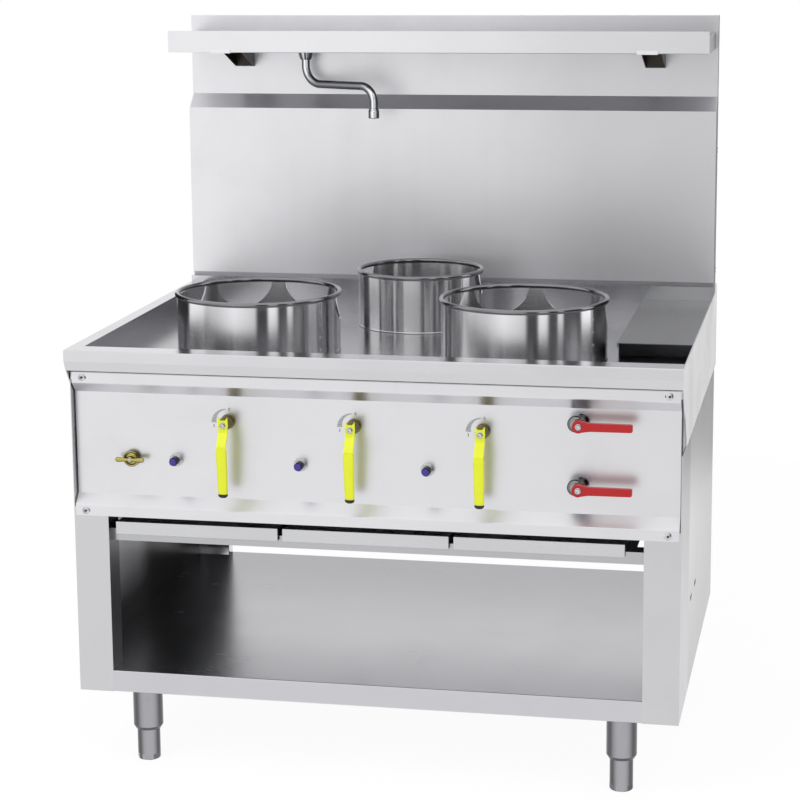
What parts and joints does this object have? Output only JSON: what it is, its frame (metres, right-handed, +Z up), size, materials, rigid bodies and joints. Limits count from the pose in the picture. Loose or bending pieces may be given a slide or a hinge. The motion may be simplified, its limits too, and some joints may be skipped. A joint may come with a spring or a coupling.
{
  "type": "wok range",
  "caption": "Free-standing gas wok range: ringed burners in a sunk hob with water trough, splash wall with shelf and swivel spout, lever controls, drip trays, open base on feet",
  "frame": {"origin": "on the floor, under the middle of the whole range's box", "axes": "+Z up, +Y to the back (splash wall), -Y to the cook, +X to the cook's right"},
  "size_m": [1.2, 0.9477, 1.466],
  "materials": {
    "stainless": "brushed stainless sheet",
    "cover_steel": "brushed stainless sheet, darker",
    "wall_steel": "finely brushed stainless sheet",
    "bracket_steel": "brushed stainless folding",
    "panel_steel": "very light satin stainless sheet",
    "side_steel": "almost white satin stainless sheet",
    "shelf_steel": "brushed stainless, reflecting",
    "tray_steel": "satin stainless sheet",
    "ring_steel": "polished stainless band and rod",
    "leg_steel": "satin stainless tube",
    "foot_steel": "turned stainless",
    "lever_steel": "zinc-plated strip",
    "screw_steel": "bright screws",
    "chrome": "bright chrome plate",
    "valve_chrome": "chrome-plated valve",
    "valve_brass": "machined brass",
    "tap_brass": "polished brass",
    "pipe_steel": "zinc-plated steel pipe",
    "pipe_chrome": "plated water pipe",
    "cast_iron": "bare cast iron",
    "yellow_grip": "smooth yellow sleeve",
    "black_plastic": "black moulding",
    "blue_button": "blue-violet cap",
    "red_lever": "red coated lever"
  },
  "bodies": {
    "range_body": {"hob_top": "stainless", "hob_floor": "stainless", "drain_outlet": "stainless", "backsplash": "wall_steel", "backsplash_rear_cover": "wall_steel", "wall_shelf": "stainless", "shelf_brackets": "bracket_steel", "faucet_body": "chrome", "control_panel": "panel_steel", "screws": "screw_steel", "front_frame": "panel_steel", "gas_valves": "valve_brass", "pilot_tap_body": "tap_brass", "igniter_bezels": "chrome", "igniter_barrels": "black_plastic", "water_valves": "valve_chrome", "burners": "cast_iron", "burner_supports": "stainless", "gas_pipes": "pipe_steel", "water_pipes": "pipe_chrome", "side_panel_left": "side_steel", "side_panel_right": "side_steel", "rear_posts": "stainless", "rear_panel": "stainless", "base_shelf": "shelf_steel", "tray_frame": "stainless", "leg_tubes": "leg_steel"},
    "gutter_cover": {"gutter_cover": "cover_steel"},
    "wok_ring_left": {"wok_ring_left": "ring_steel"},
    "wok_ring_right": {"wok_ring_right": "ring_steel"},
    "wok_ring_back": {"wok_ring_back": "ring_steel"},
    "spout": {"spout": "chrome", "spout_nozzle": "chrome"},
    "gas_lever_1": {"gas_lever_1": "lever_steel", "gas_lever_grip_1": "yellow_grip", "gas_lever_cap_1": "black_plastic", "gas_lever_bolt_1": "screw_steel"},
    "gas_lever_2": {"gas_lever_2": "lever_steel", "gas_lever_grip_2": "yellow_grip", "gas_lever_cap_2": "black_plastic", "gas_lever_bolt_2": "screw_steel"},
    "gas_lever_3": {"gas_lever_3": "lever_steel", "gas_lever_grip_3": "yellow_grip", "gas_lever_cap_3": "black_plastic", "gas_lever_bolt_3": "screw_steel"},
    "pilot_tap_handle": {"pilot_tap_handle": "tap_brass"},
    "igniter_button_1": {"igniter_button_1": "blue_button"},
    "igniter_button_2": {"igniter_button_2": "blue_button"},
    "igniter_button_3": {"igniter_button_3": "blue_button"},
    "water_lever_upper": {"water_lever_upper": "red_lever", "water_lever_screw_upper": "screw_steel"},
    "water_lever_lower": {"water_lever_lower": "red_lever", "water_lever_screw_lower": "screw_steel"},
    "drip_tray_1": {"drip_tray_1": "tray_steel"},
    "drip_tray_2": {"drip_tray_2": "tray_steel"},
    "drip_tray_3": {"drip_tray_3": "tray_steel"},
    "foot_front_left": {"foot_front_left": "foot_steel"},
    "foot_front_right": {"foot_front_right": "foot_steel"},
    "foot_rear_left": {"foot_rear_left": "foot_steel"},
    "foot_rear_right": {"foot_rear_right": "foot_steel"}
  },
  "joints": [
    {"name": "gutter_cover_lift", "type": "slide", "parent": "range_body", "child": "gutter_cover", "axis": [0, 0, 1], "range_m": [0, 0.12]},
    {"name": "wok_ring_left_lift", "type": "slide", "parent": "range_body", "child": "wok_ring_left", "axis": [0, 0, 1], "range_m": [0, 0.15]},
    {"name": "wok_ring_right_lift", "type": "slide", "parent": "range_body", "child": "wok_ring_right", "axis": [0, 0, 1], "range_m": [0, 0.15]},
    {"name": "wok_ring_back_lift", "type": "slide", "parent": "range_body", "child": "wok_ring_back", "axis": [0, 0, 1], "range_m": [0, 0.15]},
    {"name": "spout_swivel", "type": "hinge", "parent": "range_body", "child": "spout", "pos_m": [-0.32004, 0.409, 1.32], "axis": [0, 0, 1], "range_deg": [-140, 10]},
    {"name": "gas_lever_1_turn", "type": "hinge", "parent": "range_body", "child": "gas_lever_1", "pos_m": [-0.28296, -0.451, 0.7207], "axis": [0, -1, 0], "range_deg": [0, 90]},
    {"name": "gas_lever_2_turn", "type": "hinge", "parent": "range_body", "child": "gas_lever_2", "pos_m": [-0.03192, -0.451, 0.7207], "axis": [0, -1, 0], "range_deg": [0, 90]},
    {"name": "gas_lever_3_turn", "type": "hinge", "parent": "range_body", "child": "gas_lever_3", "pos_m": [0.21912, -0.451, 0.7207], "axis": [0, -1, 0], "range_deg": [0, 90]},
    {"name": "pilot_tap_turn", "type": "hinge", "parent": "range_body", "child": "pilot_tap_handle", "pos_m": [-0.48, -0.431, 0.64], "axis": [0, -1, 0], "range_deg": [0, 90]},
    {"name": "igniter_button_1_press", "type": "slide", "parent": "range_body", "child": "igniter_button_1", "axis": [0, 1, 0], "range_m": [0, 0.004], "stiffness_N_per_m": 1500, "springref_m": -0.002},
    {"name": "igniter_button_2_press", "type": "slide", "parent": "range_body", "child": "igniter_button_2", "axis": [0, 1, 0], "range_m": [0, 0.004], "stiffness_N_per_m": 1500, "springref_m": -0.002},
    {"name": "igniter_button_3_press", "type": "slide", "parent": "range_body", "child": "igniter_button_3", "axis": [0, 1, 0], "range_m": [0, 0.004], "stiffness_N_per_m": 1500, "springref_m": -0.002},
    {"name": "water_lever_upper_turn", "type": "hinge", "parent": "range_body", "child": "water_lever_upper", "pos_m": [0.40596, -0.451, 0.745], "axis": [0, 1, 0], "range_deg": [0, 90]},
    {"name": "water_lever_lower_turn", "type": "hinge", "parent": "range_body", "child": "water_lever_lower", "pos_m": [0.40596, -0.451, 0.6225], "axis": [0, 1, 0], "range_deg": [0, 90]},
    {"name": "drip_tray_1_pull", "type": "slide", "parent": "range_body", "child": "drip_tray_1", "axis": [0, -1, 0], "range_m": [0, 0.35]},
    {"name": "drip_tray_2_pull", "type": "slide", "parent": "range_body", "child": "drip_tray_2", "axis": [0, -1, 0], "range_m": [0, 0.35]},
    {"name": "drip_tray_3_pull", "type": "slide", "parent": "range_body", "child": "drip_tray_3", "axis": [0, -1, 0], "range_m": [0, 0.35]},
    {"name": "foot_front_left_adjust", "type": "slide", "parent": "range_body", "child": "foot_front_left", "axis": [0, 0, -1], "range_m": [0, 0.03]},
    {"name": "foot_front_right_adjust", "type": "slide", "parent": "range_body", "child": "foot_front_right", "axis": [0, 0, -1], "range_m": [0, 0.03]},
    {"name": "foot_rear_left_adjust", "type": "slide", "parent": "range_body", "child": "foot_rear_left", "axis": [0, 0, -1], "range_m": [0, 0.03]},
    {"name": "foot_rear_right_adjust", "type": "slide", "parent": "range_body", "child": "foot_rear_right", "axis": [0, 0, -1], "range_m": [0, 0.03]}
  ]
}
